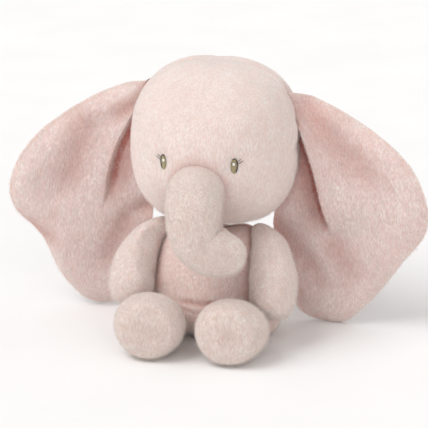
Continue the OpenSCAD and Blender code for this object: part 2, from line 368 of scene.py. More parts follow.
def nearness(made, others):
    """How close each point lies to the other covers: 1 where they touch, 0 beyond PRESS_REACH."""
    points = read_points(made.data)
    share = np.zeros(len(points))
    for other in others:
        around = read_points(other.data)
        tree = surface_tree(other)
        low, high = around.min(axis=0) - PRESS_REACH, around.max(axis=0) + PRESS_REACH
        for index in np.flatnonzero(np.all((points > low) & (points < high), axis=1)):
            gap = tree.find_nearest(Vector(points[index]), PRESS_REACH)[3]
            if gap is not None:
                share[index] = max(share[index], 1 - gap / PRESS_REACH)
    return share


def rest_on_floor(made):
    """Flattens what would hang below the floor."""
    points = read_points(made.data)
    points[:, 2] = np.maximum(points[:, 2], FLOOR_GAP)
    write_points(made.data, points)


# ---- Head ----

HEAD_LOW, HEAD_HIGH = (np.array(corner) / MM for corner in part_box("head_front_panel"))
HEAD_BACK_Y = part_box("head_back_panel")[1].y / MM
HEAD_SEAM_Y = HEAD_HIGH[1]
HEAD_Z = (HEAD_LOW[2] + HEAD_HIGH[2]) / 2
HEAD_POWER = 2.85
HEAD_SEAM_W = 1.6
HEAD_SEAM_GROOVE = 0.4
EYE_DIMPLE = 2.2
EYE_DIMPLE_W = 11
EYES = {
    side: sum(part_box(f"eye_{side}_gold_thread"), Vector()) / 2 / MM for side in ("left", "right")
}
# The hollow under the head, where it sits on the body and has room to nod
HOLLOW_Y = 22
HOLLOW_Z = 118
HOLLOW_DEPTH = 5
HOLLOW_RISE = 8
HOLLOW_W = 34


def head_reach(angle):
    half_w, half_h = HEAD_HIGH[0] - SKIN / 2, (HEAD_HIGH[2] - HEAD_LOW[2]) / 2 - SKIN / 2
    across = np.abs(np.cos(angle) / half_w) ** HEAD_POWER
    upward = np.abs(np.sin(angle) / half_h) ** HEAD_POWER
    return (across + upward) ** (-1 / HEAD_POWER)


def head_form(ball):
    front = HEAD_SEAM_Y - HEAD_LOW[1] - SKIN / 2
    back = HEAD_BACK_Y - HEAD_SEAM_Y - SKIN / 2
    return cushion_form(ball, head_reach, (0, HEAD_Z), front, back) + [0, HEAD_SEAM_Y, 0]


def head_relief(points):
    """The seam over the crown, with a faint painted shade along it, the hollow that sits on the body, and
    the dimples that the eye stitches pull."""
    seam = bell(points[:, 1] - HEAD_SEAM_Y, HEAD_SEAM_W)
    hollow = ease((HOLLOW_Z - points[:, 2]) / HOLLOW_RISE) * bell(points[:, 1] - HOLLOW_Y, HOLLOW_W)
    height = 0.5 * wool(points, 38, seed=110) - HEAD_SEAM_GROOVE * seam - HOLLOW_DEPTH * hollow
    for eye in EYES.values():
        height -= EYE_DIMPLE * bell(np.linalg.norm(points - np.array(eye), axis=1), EYE_DIMPLE_W)
    return height, 0.1 * seam


# ---- Trunk ----

TRUNK_PATH = [
    (0, -44, 158), (0, -62, 161), (1, -79, 151), (4, -87, 133),
    (12, -88, 117), (30, -86, 109), (53, -84, 108),
]
TRUNK_RADII = [(0, 26), (0.2, 28.5), (0.4, 27.5), (0.65, 26.5), (1, 24)]
TRUNK_BEND = np.array([26, -86, 134])  # inner corner of its bend
TRUNK_BEND_W = 9


def trunk_form(ball):
    return limb_form(ball, TRUNK_PATH, TRUNK_RADII, 0.1, 0.26, (0, -1, 1), 1)


def trunk_relief(points):
    """A crease in the inner corner of the bend, darkened with painted shade."""
    crease = bell(np.linalg.norm(points - TRUNK_BEND, axis=1), TRUNK_BEND_W)
    return 0.6 * wool(points, 22, seed=210) - 0.6 * crease, 0.3 * crease


# ---- Ears ----

EAR_HUB = (140, 150)
EAR_THICK = 8
EAR_Y = 35
EAR_FORWARD = 24
EAR_ROOT_X = 72.5
EAR_SPAN = 150
EAR_SPARE = {"left": 2, "right": 3.5}  # width of cloth that the curled rim takes up
EAR_ROLL = 9  # how far back the rim curls
EAR_ROLL_W = 24
EAR_FLATNESS = 0.7
EAR_WAVE = 2.2
EAR_WAVE_SIZE = 45
EAR_WAVE_SEEDS = {"left": 300, "right": 320}
# Outline [X, Z] of each ear, with X away from the head, from the top of the root round to the inner edge
EAR_OUTLINES = {
    "left": [
        (62, 243), (96, 235), (145, 211), (190, 178), (211, 142), (213, 108), (190, 72), (165, 34),
        (134, 2), (109, 1), (87, 12), (70, 52), (58, 104), (72, 148), (78, 187), (74, 222),
    ],
    "right": [
        (62, 243), (93, 239), (135, 220), (184, 184), (210, 146), (211, 110), (184, 75), (165, 34),
        (139, 7), (108, 8), (84, 30), (73, 70), (68, 108), (73, 148), (78, 187), (74, 222),
    ],
}
# Folds: the line [X, Z] from the root outwards, how far its outer side stands forwards, how far its inner
# side lies back, the widths of both, and the share of the line after which it fades
EAR_FOLDS = {
    "left": [([(70, 240), (85, 200), (97, 169), (107, 133), (119, 94)], 11, 14, 22, 20, 0.8)],
    "right": [([(72, 244), (92, 200), (104, 176), (112, 150), (116, 128), (122, 104)], 4, 6, 22, 18, 0.6)],
}
# Soft dips: the line [X, Z], how deep it is, its width, and the share of the line after which it fades
EAR_DIPS = {
    "left": [
        ([(88, 226), (119, 192), (150, 163), (186, 140)], 7, 17, 0.6),
        ([(122, 84), (136, 62), (152, 40)], 1.5, 14, 0.4),
        ([(60, 100), (88, 72), (118, 30)], 4, 12, 0.6),
    ],
    "right": [
        ([(134, 196), (151, 150), (168, 108)], 7, 16, 0.5),
        ([(74, 226), (98, 210), (124, 196)], 6, 9, 0.4),
        ([(64, 116), (84, 110), (104, 100)], 5, 9, 0.5),
        ([(196, 88), (178, 76), (158, 64)], 4, 10, 0.5),
        ([(96, 96), (110, 70), (122, 34)], 4, 12, 0.6),
    ],
}
DIP_SHADE = 0.35
FOLD_STEP = 2.5  # the width over which a fold's surface steps from its inner to its outer side


def beside(line, points):
    """The share of the way along a line, and the distance from it, positive on its outer side."""
    share = np.linspace(0, 1, 90)
    dense = smooth_curve(line, share)
    gap = np.linalg.norm(points[:, None, :] - dense[None], axis=2)
    nearest = gap.argmin(axis=1)
    ahead = np.gradient(dense, axis=0)[nearest]
    off = points - dense[nearest]
    outward = np.sign(ahead[:, 0] * off[:, 1] - ahead[:, 1] * off[:, 0])
    return share[nearest], outward * gap[np.arange(len(points)), nearest]


def fold_forward(fold, flat):
    """How far forwards one fold brings each point [X, Z] of an ear, and how deep in its shade it lies."""
    line, ridge, valley, ridge_w, valley_w, fades = fold
    share, distance = beside(line, flat)
    over = ease(distance / FOLD_STEP + 0.5)
    raised = ridge * np.exp(-np.maximum(distance, 0) / ridge_w)
    sunk = -valley * np.exp(np.minimum(distance, 0) / valley_w)
    strength = 1 - ease((share - fades) / (1 - fades))
    shade = strength * np.maximum(bell(distance + 5, 5.5), 0.5 * bell(distance + 11, 11))
    return strength * (over * raised + (1 - over) * sunk), shade


def dip_back(dip, flat):
    """How far back one soft dip takes each point [X, Z] of an ear, and how deep in its shade it lies."""
    line, depth, width, fades = dip
    share, distance = beside(line, flat)
    strength = (1 - ease((share - fades) / (1 - fades))) * bell(distance, width)
    return -depth * strength, DIP_SHADE * strength


def shape_ear(made, side):
    """Curves a flat ear forwards and folds it. Returns how deep in the painted shade of its folds each point
    lies.
    """
    points = read_points(made.data)
    out = np.abs(points[:, 0])
    flat = np.column_stack([out, points[:, 2]])
    forward = EAR_FORWARD * (np.maximum(out - EAR_ROOT_X, 0) / EAR_SPAN) ** 2
    crease = np.zeros(len(points))
    bends = [fold_forward(fold, flat) for fold in EAR_FOLDS[side]]
    bends += [dip_back(dip, flat) for dip in EAR_DIPS[side]]
    for lift, shade in bends:
        forward += lift
        crease = np.maximum(crease, shade)
    off = flat - EAR_HUB
    reach = outline_reach(EAR_OUTLINES[side], EAR_HUB)(np.arctan2(off[:, 1], off[:, 0]))
    inside = reach - np.linalg.norm(off, axis=1)
    rolled = np.clip(1 - inside / EAR_ROLL_W, 0, 1) ** 2
    forward -= EAR_ROLL * rolled * ease((out - EAR_ROOT_X) / EAR_ROLL_W)
    forward += EAR_WAVE * wool(points, EAR_WAVE_SIZE, EAR_WAVE_SEEDS[side])
    points[:, 1] += EAR_Y - forward
    write_points(made.data, points)
    return crease


def ear_form(side):
    outline = outline_reach(EAR_OUTLINES[side], EAR_HUB)
    turn = 1 if side == "left" else -1

    def reach(angle):
        return outline(angle) + EAR_SPARE[side]

    def form(ball):
        half = EAR_THICK / 2
        return cushion_form(ball * [turn, 1, 1], reach, EAR_HUB, half, half, EAR_FLATNESS) * [turn, 1, 1]

    return form


def ear_relief(points):
    return 0.3 * wool(points, 14, seed=330), np.zeros(len(points))


# ---- Torso ----

TORSO_Y = -8
TORSO_LEAN = 0.2
TORSO_HUB = (0, 42)
TORSO_FRONT = 55
TORSO_BACK = 52
TORSO_RIGHT = [(0, 105), (32, 107), (48, 100), (59, 75), (68, 46), (76, 22), (64, 0), (34, -7)]
TORSO_OUTLINE = TORSO_RIGHT + [(0, -8)] + [(-x, z) for x, z in TORSO_RIGHT[:0:-1]]


def torso_form(ball):
    reach = outline_reach(TORSO_OUTLINE, TORSO_HUB)
    points = cushion_form(ball, lambda a: reach(a) - SKIN, TORSO_HUB, TORSO_FRONT - SKIN, TORSO_BACK - SKIN)
    points[:, 1] += TORSO_Y + TORSO_LEAN * points[:, 2]
    points[:, 2] = np.maximum(points[:, 2], FLOOR_GAP)
    return points


BELLY_CREASES = [(44, 5), (35, -5)]  # height in the middle, and how much lower at the sides


def torso_seam(points):
    """Distance from the side seams."""
    return np.abs(points[:, 1] - TORSO_Y - TORSO_LEAN * points[:, 2])


def torso_relief(points):
    """Side seams, and creases where the belly sits on the legs, both darkened with painted shade."""
    creases = np.zeros(len(points))
    for crease_z, drop in BELLY_CREASES:
        line = crease_z - drop * (points[:, 0] / 40) ** 2 + 2.5 * wool(points, 16, seed=420)
        broken = np.clip(0.5 + wool(points, 13, seed=430), 0, 1)
        creases += broken * bell(points[:, 2] - line, 2.4) * bell(points[:, 0], 30) * (points[:, 1] < -30)
    seam = bell(torso_seam(points), 1.8)
    return wool(points, 24, seed=410) - 1.6 * seam - 2.4 * creases, np.maximum(0.7 * creases, 0.3 * seam)


# ---- Arms ----

ARM_FLATNESS = 0.72
# Path, radii at shares of the path, and the way the flatter side is turned, each with X away from the body
ARM_SHAPES = {
    1: (
        [(44, 12, 107), (61, -10, 92), (72, -36, 66), (74, -57, 36)],
        [(0, 10), (0.1, 13), (0.3, 20), (0.6, 28.5), (1, 32)],
        (0.1, 0.99, 0),
    ),
    -1: (
        [(42, 12, 107), (61, -8, 93), (70, -32, 68), (71, -52, 37)],
        [(0, 10), (0.1, 14), (0.3, 20), (0.6, 25.5), (1, 28)],
        (0.77, 0.64, 0),
    ),
}


def arm_form(turn):
    path, radii, facing = ARM_SHAPES[turn]

    def form(ball):
        points = limb_form(ball * [1, turn, 1], path, radii, 0.16, 0.24, facing, ARM_FLATNESS)
        return points * [turn, 1, 1]

    return form


def arm_relief(points):
    return 0.8 * wool(points, 20, seed=510), np.zeros(len(points))


# ---- Legs ----

SOLE_X = 39.5
SOLE_R = 32
SOLE_Y = -112
SOLE_CROWN = 6
SOLE_SHARE = 0.36  # of the way round the leg, from the middle of the sole to its seam
LEG_BACK_Y = -54
LEG_SHIFT = 3
LEG_RADII = [(0, 25), (0.3, 29), (0.65, 32.5), (1, 32)]
LEG_SPREAD = 0.13  # how much wider than high the tube is, halfway along
LEG_SEAM_W = 2.0
WHORL_W = 12


def leg_form(turn):
    def form(ball):
        around = np.arccos(np.clip(-ball[:, 1], -1, 1)) / math.pi
        sole = np.clip(around / SOLE_SHARE, 0, 1) * math.pi / 2
        tube = (1 - np.clip((around - SOLE_SHARE) / (1 - SOLE_SHARE), 0, 1)) * math.pi / 2
        t = 1 - np.cos(tube)
        full = np.interp(t, *zip(*LEG_RADII)) - SKIN
        r = np.where(around < SOLE_SHARE, full * np.sin(sole), full * end_round(t, 0.3))
        crown = np.where(around < SOLE_SHARE, SOLE_CROWN * np.cos(sole), 0)
        y = LEG_BACK_Y + t * (SOLE_Y + SKIN - LEG_BACK_Y) - crown
        angle = np.arctan2(ball[:, 2], ball[:, 0])
        x = SOLE_X + LEG_SHIFT * (1 - t) + r * np.cos(angle) * (1 + LEG_SPREAD * np.sin(math.pi * t))
        return np.column_stack([turn * x, y, full + SKIN + r * np.sin(angle)])

    return form


def leg_seam(points):
    """Distance from the seam round the sole."""
    r = np.hypot(np.abs(points[:, 0]) - SOLE_X, points[:, 2] - SOLE_R)
    return np.hypot(points[:, 1] - SOLE_Y - SKIN, r - SOLE_R + SKIN)


def leg_relief(points):
    """The seam round the sole, and the whorl of the pile in its middle, both darkened with painted shade."""
    seam = bell(leg_seam(points), LEG_SEAM_W)
    from_middle = np.hypot(np.abs(points[:, 0]) - SOLE_X, points[:, 2] - SOLE_R)
    whorl = bell(from_middle, WHORL_W) * (points[:, 1] < SOLE_Y)
    height = 0.5 * wool(points, 20, seed=610) - 1.5 * seam - 0.6 * whorl
    return height, np.maximum(0.3 * seam, 0.1 * whorl)


# ---- Tail ----

TAIL_PATH = [(0, 46, 35), (0, 62, 32), (0, 72, 23), (0, 76, 11)]
TAIL_RADII = [(0, 7.5), (0.6, 6.5), (1, 7)]


def tail_form(ball):
    return limb_form(ball, TAIL_PATH, TAIL_RADII, 0.1, 0.14, (1, 0, 0), 1)


def tail_relief(points):
    return 0.3 * wool(points, 9, seed=710), np.zeros(len(points))


# ---- Eyes: satin stitches that lie on the face ----

EYE_IN, EYE_OUT, EYE_UP = 3.7, 3.6, 7.4  # reach of the gold oval towards the nose, away from it, and upwards
STITCH_PITCH = 0.45
STITCH_SLANT = 0.12
THREAD_R = 0.28
LASHES = [((3.2, 4.0), (7.0, 7.0)), ((3.8, 1.6), (9.2, 5.0))]
HIGHLIGHT = (-0.5, 2.0)
HIGHLIGHT_R = 1.6


def tube(path, radii, sides=6):
    """Points and faces of a thread along a path, closed to a point at both ends."""
    path = np.asarray(path, float)
    ahead = np.gradient(path, axis=0)
    ahead /= np.linalg.norm(ahead, axis=1)[:, None]
    across = np.cross(ahead, (0.31, 0.17, 0.93))
    across /= np.linalg.norm(across, axis=1)[:, None]
    other = np.cross(ahead, across)
    angle = np.arange(sides) * 2 * math.pi / sides
    ring = across[:, None] * np.cos(angle)[None, :, None] + other[:, None] * np.sin(angle)[None, :, None]
    points = (path[:, None] + ring * np.asarray(radii)[:, None, None]).reshape(-1, 3)
    faces = [
        (k * sides + i, k * sides + (i + 1) % sides, (k + 1) * sides + (i + 1) % sides, (k + 1) * sides + i)
        for k in range(len(path) - 1) for i in range(sides)
    ]
    faces += [tuple(range(sides))[::-1], tuple(range(len(points) - sides, len(points)))]
    return points, faces


def thread_object(name, paths, radius, material):
    """One piece from many threads, each drawn in at its ends."""
    points, faces = [], []
    for path in paths:
        along = np.linspace(-1, 1, len(path))
        more, joined = tube(path, radius * np.sqrt(1.06 - along**2))
        faces += [[i + len(points) for i in face] for face in joined]
        points += more.tolist()
    made = mesh_object(name, points, faces)
    made.data.materials.append(material)
    return made


class FaceFrame:
    """Places drawings on the face at an eye: u runs away from the nose and v up, in millimetres."""

    def __init__(self, head, side):
        self.tree = surface_tree(head)
        turn = 1 if side == "left" else -1
        guess = EYES[side]
        self.middle = self.tree.find_nearest(guess)[0]
        self.out = ((guess - Vector((0, HEAD_SEAM_Y, HEAD_Z))) * Vector((0.9, 1, 0.9))).normalized()
        self.away = Vector((0, 0, 1)).cross(self.out).normalized() * turn
        self.away *= 1 if self.away.x * turn > 0 else -1
        self.up = self.out.cross(self.away).normalized()
        self.up *= 1 if self.up.z > 0 else -1

    def place(self, u, v, lift):
        """The point at u, v that stands lift off the fabric."""
        above = self.middle + self.away * u + self.up * v + self.out * 20
        hit, _, _, _ = self.tree.ray_cast(above, -self.out)
        return tuple((hit or above) + self.out * lift)

    def stitch(self, start, end, rise, steps=9):
        """A stitch from start to end, domed by rise over the padding under it."""
        share = np.linspace(0, 1, steps)
        return [
            self.place(*(np.array(start) * (1 - s) + np.array(end) * s), 0.3 + rise * math.sin(math.pi * s))
            for s in share
        ]


def gold_stitches(face):
    rows = np.arange(-EYE_UP + 0.3, EYE_UP, STITCH_PITCH)
    for v in rows:
        narrow = math.sqrt(1 - (v / EYE_UP) ** 2)
        wide = (1 - abs(v / EYE_UP) ** 3) ** 0.5 if v < 0 else narrow
        start = (-EYE_IN * wide, v + STITCH_SLANT * EYE_IN * wide)
        end = (EYE_OUT * narrow, v - STITCH_SLANT * EYE_OUT * narrow)
        yield face.stitch(start, end, 0.75 * narrow)


def brown_stitches(face):
    """The dark crescent round the outer side, thickest low down, and the lashes."""
    for angle in np.radians(np.arange(118, -62, -4.5)):
        edge = np.array([math.cos(angle) * EYE_OUT, math.sin(angle) * EYE_UP])
        thick = 0.8 + 1.5 * math.exp(-(((math.degrees(angle) + 42) / 20) ** 2))
        inner = edge * (1 - thick / np.linalg.norm(edge) * 0.8)
        yield face.stitch(inner, edge * (1 + 0.45 / np.linalg.norm(edge)), 0.65, 5)
    for start, end in LASHES:
        yield face.stitch(start, end, 0.5)


def white_stitches(face):
    for dv in np.arange(-HIGHLIGHT_R + 0.2, HIGHLIGHT_R, 0.38):
        half = math.sqrt(HIGHLIGHT_R**2 - dv**2)
        start = (HIGHLIGHT[0] - half, HIGHLIGHT[1] + dv)
        end = (HIGHLIGHT[0] + half, HIGHLIGHT[1] + dv)
        path = face.stitch(start, end, 0.5, 6)
        yield [tuple(Vector(p) + face.out * 0.75) for p in path]


def add_eye(head, side):
    face = FaceFrame(head, side)
    for kind, stitches, radius, material in (
        ("gold", gold_stitches, THREAD_R, gold_thread),
        ("brown", brown_stitches, THREAD_R, brown_thread),
        ("white", white_stitches, 0.25, white_thread),
    ):
        made = thread_object(f"eye_{side}_{kind}_stitches", list(stitches(face)), radius, material)
        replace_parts(made, f"eye_{side}_{kind}_thread")
        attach(made, "head")


# ---- Sewn trim ----

STITCH_COUNT = 7
STITCH_L = 5
STITCH_LOW_Z = 52
STITCH_HIGH_Z = 76
STITCH_THREAD_R = 0.42
BEHIND_Y = 120
LABEL_W = 18
LABEL_REACH = 14
LABEL_GAP = 1.5
LABEL_WAVE = 0.9
LABEL_ROWS = 9
LABEL_THICK = 0.3


def add_closing_stitches(torso, material):
    """Hand-sewn ladder stitches that close the seam up the back, each sinking at its ends."""
    tree = surface_tree(torso)
    paths = []
    for z in np.linspace(STITCH_LOW_Z, STITCH_HIGH_Z, STITCH_COUNT):
        path = []
        for s in np.linspace(-1, 1, 9):
            behind = Vector((s * STITCH_L / 2, BEHIND_Y, z + 0.5 * s))
            hit, normal, _, _ = tree.ray_cast(behind, Vector((0, -1, 0)))
            path.append(tuple(hit + normal * (0.7 - 1.6 * s**4)))
        paths.append(path)
    made = thread_object("closing_stitches_thread", paths, STITCH_THREAD_R, material)
    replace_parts(made, "closing_stitches")
    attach(made, "torso")


def add_care_label(material):
    """A blank ribbon folded in two, whose ends are caught in the side seam."""
    low, high = (np.array(corner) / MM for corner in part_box("care_label"))
    out = np.concatenate([np.linspace(0, LABEL_REACH, 12), np.linspace(LABEL_REACH, 0, 12)])
    fold = np.concatenate([np.linspace(0, 0.35, 12), np.linspace(0.65, 1, 12)])
    rows = []
    n = len(out)
    for share in np.linspace(0, 1, LABEL_ROWS):
        wave = LABEL_WAVE * np.sin(2.4 * share + out / 6) * out / LABEL_REACH
        y = low[1] + LABEL_GAP * fold + wave
        rows.append(np.column_stack([high[0] - out, y, np.full(n, low[2] + share * LABEL_W)]))
    faces = [
        (r * n + i, r * n + i + 1, (r + 1) * n + i + 1, (r + 1) * n + i)
        for r in range(LABEL_ROWS - 1) for i in range(n - 1)
    ]
    made = mesh_object("care_label_ribbon", np.concatenate(rows), faces)
    made.data.materials.append(material)
    thickness = made.modifiers.new("Ribbon", "SOLIDIFY")
    thickness.thickness = LABEL_THICK * MM
    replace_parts(made, "care_label")
    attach(made, "torso")


def eye_clearance(points):
    """1 where the pile stands, falling to 0 on the eyes, whose stitches press it down."""
    clear = np.ones(len(points))
    for eye in EYES.values():
        off = (points - np.array(eye)) / (5.5, 9, 9.5)
        clear *= ease(np.linalg.norm(off, axis=1) * 2 - 1.2)
    return clear


# ---- Materials ----

def tone(red, green, blue):
    """A colour from its display values, 0 to 255."""
    shares = [c / 255 for c in (red, green, blue)]
    linear = [(s / 12.92 if s <= 0.04045 else ((s + 0.055) / 1.055) ** 2.4) for s in shares]
    return (*linear, 1)


def add_node(tree, kind, values=(), **settings):
    made = tree.nodes.new(kind)
    for key, value in settings.items():
        setattr(made, key, value)
    for key, value in values:
        made.inputs[key].default_value = value
    return made


def add_noise(tree, size, detail=2.0, drawn=(1, 1, 1)):
    """Noise whose lumps are about size millimetres across, and longer where drawn is below 1."""
    where = add_node(tree, "ShaderNodeTexCoord")
    scaled = add_node(tree, "ShaderNodeMapping", [("Scale", drawn)])
    noise = add_node(tree, "ShaderNodeTexNoise", [("Scale", 1 / (size * MM)), ("Detail", detail)])
    tree.links.new(where.outputs["Object"], scaled.inputs["Vector"])
    tree.links.new(scaled.outputs["Vector"], noise.inputs["Vector"])
    return noise.outputs["Fac"]


def add_attribute(tree, name):
    return add_node(tree, "ShaderNodeAttribute", attribute_name=name).outputs["Fac"]


def add_range(tree, value, low, high, to_low, to_high):
    spread = add_node(
        tree, "ShaderNodeMapRange",
        [("From Min", low), ("From Max", high), ("To Min", to_low), ("To Max", to_high)],
    )
    tree.links.new(value, spread.inputs["Value"])
    return spread.outputs["Result"]


def add_mix(tree, amount, first, second):
    """A mix of two colours, each a colour or a socket."""
    mix = add_node(tree, "ShaderNodeMix", data_type="RGBA")
    tree.links.new(amount, mix.inputs["Factor"])
    for name, colour in (("A", first), ("B", second)):
        socket = next(s for s in mix.inputs if s.name == name and s.type == "RGBA")
        if isinstance(colour, tuple):
            socket.default_value = colour
        else:
            tree.links.new(colour, socket)
    return next(s for s in mix.outputs if s.type == "RGBA")


def new_material(name):
    material = bpy.data.materials.new(name)
    material.use_nodes = True
    shader = material.node_tree.nodes["Principled BSDF"]
    return material, material.node_tree, shader


def plush_material(name, pale, full, deep):
    """Brushed pile: mottled, with a combed grain, and with painted shade low between its tufts and in
    its folds, seams and where covers touch.
    """
    material, tree, shader = new_material(name)
    patches = add_range(tree, add_noise(tree, 26), 0.35, 0.65, 0, 1)
    grain = add_range(tree, add_noise(tree, 1.3, 2, COMBED), 0.36, 0.64, 0.65, 0)
    low = add_range(tree, add_attribute(tree, "tuft"), -0.7, 0.5, 0.4, 0)
    crease = add_range(tree, add_attribute(tree, "crease"), 0, 1, 0, 0.9)
    colour = add_mix(tree, patches, pale, full)
    colour = add_mix(tree, grain, colour, deep)
    # Painted shade: darker where the tufts lie low
    colour = add_mix(tree, low, colour, deep)
    # Painted shade: folds, seams and touching places go towards the reddish crease shade colour
    colour = add_mix(tree, crease, colour, CREASE_SHADE_TONE)
    tree.links.new(colour, shader.inputs["Base Color"])
    tree.links.new(add_range(tree, add_noise(tree, 2), 0.3, 0.7, 0.78, 0.96), shader.inputs["Roughness"])
    bump = add_node(tree, "ShaderNodeBump", [("Strength", 0.6), ("Distance", 0.7 * MM)])
    tree.links.new(add_noise(tree, 1.2, 3, COMBED), bump.inputs["Height"])
    tree.links.new(bump.outputs["Normal"], shader.inputs["Normal"])
    shader.inputs["Subsurface Weight"].default_value = 0.5
    shader.inputs["Subsurface Radius"].default_value = PILE_BLEED
    shader.inputs["Subsurface Scale"].default_value = 7 * MM
    shader.inputs["Sheen Weight"].default_value = 0.9
    shader.inputs["Sheen Roughness"].default_value = 0.4
    shader.inputs["Sheen Tint"].default_value = pale
    shader.inputs["Specular IOR Level"].default_value = 0.15
    return material


def pile_fibre(name, pale, full):
    """Polyester fibre of the pile, paler at its tip, and mottled from place to place."""
    material, tree, shader = new_material(name)
    along = add_node(tree, "ShaderNodeHairInfo").outputs["Intercept"]
    patches = add_range(tree, add_noise(tree, 16), 0.35, 0.65, 0, 0.8)
    root_to_tip = add_range(tree, along, 0, 1, 0.9, 0.1)
    colour = add_mix(tree, root_to_tip, add_mix(tree, patches, pale, full), full)
    tree.links.new(colour, shader.inputs["Base Color"])
    shader.inputs["Roughness"].default_value = 0.6
    shader.inputs["Sheen Weight"].default_value = 0.2
    shader.inputs["Specular IOR Level"].default_value = 0.25
    return material


def thread_material(name, light, dark, roughness):
    """Shiny embroidery thread with a fine twist."""
    material, tree, shader = new_material(name)
    streaks = add_range(tree, add_noise(tree, 1.2, 3), 0.35, 0.65, 0, 1)
    tree.links.new(add_mix(tree, streaks, light, dark), shader.inputs["Base Color"])
    worn = add_range(tree, add_noise(tree, 0.8), 0.3, 0.7, roughness - 0.08, roughness + 0.08)
    tree.links.new(worn, shader.inputs["Roughness"])
    bump = add_node(tree, "ShaderNodeBump", [("Strength", 0.4), ("Distance", 0.1 * MM)])
    tree.links.new(add_noise(tree, 0.4), bump.inputs["Height"])
    tree.links.new(bump.outputs["Normal"], shader.inputs["Normal"])
    shader.inputs["Sheen Weight"].default_value = 0.3
    return material


# Painted shade: the reddish dark that folds, seams, dips and touching covers are coloured with
CREASE_SHADE_TONE = tone(172, 82, 68)
PILE_BLEED = (1, 0.5, 0.42)  # light spreads through the pile, and reddest the furthest
COMBED = (1, 1, 0.3)  # the pile is brushed downwards
HEAD_TONES = tone(237, 227, 223), tone(232, 219, 214), tone(216, 194, 186)
BELLY_TONES = tone(242, 227, 222), tone(236, 219, 213), tone(213, 181, 172)
ARM_TONES = tone(235, 226, 221), tone(229, 218, 212), tone(207, 182, 174)
FOOT_TONES = tone(230, 221, 215), tone(223, 211, 204), tone(200, 177, 168)
EAR_TONES = tone(236, 225, 221), tone(229, 215, 210), tone(204, 179, 172)


# ---- Pile ----

def grow_pile(made, fibre, length, strands, comb, seed):
    """Loose fibres, of a length in millimetres, that stand off the combed tufts and soften the outline."""
    made.data.materials.append(fibre)
    made.modifiers.new("Pile", "PARTICLE_SYSTEM")
    system = made.particle_systems[-1]
    system.seed = seed
    settings = system.settings
    settings.type = "HAIR"
    settings.use_advanced_hair = True
    settings.count = strands
    settings.hair_step = 3
    settings.render_step = 2
    speed = length * MM / 4
    settings.normal_factor = speed * 0.5
    settings.object_align_factor = tuple(speed * 0.5 * c for c in comb)
    settings.factor_random = speed * 0.35
    settings.root_radius = 0.16
    settings.tip_radius = 0.05
    settings.radius_scale = MM
    settings.material = 2
    if "pile" in made.vertex_groups:
        system.vertex_group_length = "pile"


# ---- Light and floor ----

ROOM_COLOUR = (1, 0.985, 0.975, 1)
ROOM_LIGHT = 0.66
FLOOR_HALF = 4  # metres
FLOOR_TONES = (0.93, 0.93, 0.93, 1), (0.96, 0.96, 0.96, 1)


def add_sun(name, toward, width, strength):
    """Even light from one direction; a great width makes it as soft as a large studio screen."""
    data = bpy.data.lights.new(name, "SUN")
    data.energy = strength
    data.angle = width
    made = bpy.data.objects.new(name, data)
    made.rotation_euler = Vector(toward).to_track_quat("Z", "Y").to_euler()
    bpy.context.scene.collection.objects.link(made)


def add_studio():
    scene = bpy.context.scene
    scene.view_settings.view_transform = "Standard"
    world = bpy.data.worlds.new("Studio")
    world.use_nodes = True
    background = world.node_tree.nodes["Background"]
    background.inputs["Color"].default_value = ROOM_COLOUR
    background.inputs["Strength"].default_value = ROOM_LIGHT
    scene.world = world
    add_sun("Key", (-0.6, -0.5, 1), math.radians(40), 1.4)
    add_sun("Fill", (0.4, -1, 0.1), math.radians(80), 0.8)
    corners = np.array([(-1, -1, 0), (1, -1, 0), (1, 1, 0), (-1, 1, 0)]) * FLOOR_HALF
    floor = mesh_object("floor", corners / MM, [(0, 1, 2, 3)])
    material, tree, shader = new_material("pale floor")
    mottle = add_range(tree, add_noise(tree, 150, 3), 0.3, 0.7, 0, 1)
    tree.links.new(add_mix(tree, mottle, *FLOOR_TONES), shader.inputs["Base Color"])
    shader.inputs["Roughness"].default_value = 0.9
    floor.data.materials.append(material)


# ---- Making it ----

add_camera()
add_studio()


def ear_rim(points, ball):
    return np.abs(ball[:, 1]) * 30


def arm_edge(points, ball):
    return np.abs(ball[:, 1]) * 25


add_cover("head_cover", (28, 28, 28), head_form, lambda p, b: np.abs(p[:, 1] - HEAD_SEAM_Y), 2, 4)
add_cover("trunk_cover", (26, 12, 12), trunk_form, seamless, 2, 3)
for side, turn in (("left", 1), ("right", -1)):
    add_cover(f"ear_{side}_cover", (34, 7, 34), ear_form(side), ear_rim, 1.5, 3)
    add_cover(f"arm_{side}_cover", (20, 10, 10), arm_form(turn), arm_edge, 3, 4)
    add_cover(f"leg_{side}_cover", (14, 14, 14), leg_form(turn), lambda p, b: leg_seam(p), 3, 4)
add_cover("torso_cover", (26, 22, 22), torso_form, lambda p, b: torso_seam(p), 3, 5)
add_cover("tail_cover", (10, 5, 5), tail_form, seamless, 1, 1)

fill_covers()

head_skin = plush_material("head plush", *HEAD_TONES)
belly_skin = plush_material("belly plush", *BELLY_TONES)
arm_skin = plush_material("arm plush", *ARM_TONES)
foot_skin = plush_material("foot plush", *FOOT_TONES)
ear_skin = plush_material("ear plush", *EAR_TONES)
head_fibre = pile_fibre("head pile", *HEAD_TONES[:2])
body_fibre = pile_fibre("body pile", *ARM_TONES[:2])
foot_fibre = pile_fibre("foot pile", *FOOT_TONES[:2])
ear_fibre = pile_fibre("ear pile", *EAR_TONES[:2])
gold_thread = thread_material("gold thread", tone(176, 164, 128), tone(138, 124, 88), 0.38)
brown_thread = thread_material("brown thread", tone(84, 62, 46), tone(50, 34, 26), 0.45)
pink_thread = thread_material("pink thread", tone(228, 205, 199), tone(205, 176, 168), 0.5)
white_thread = thread_material("white thread", tone(252, 252, 250), tone(236, 236, 232), 0.4)

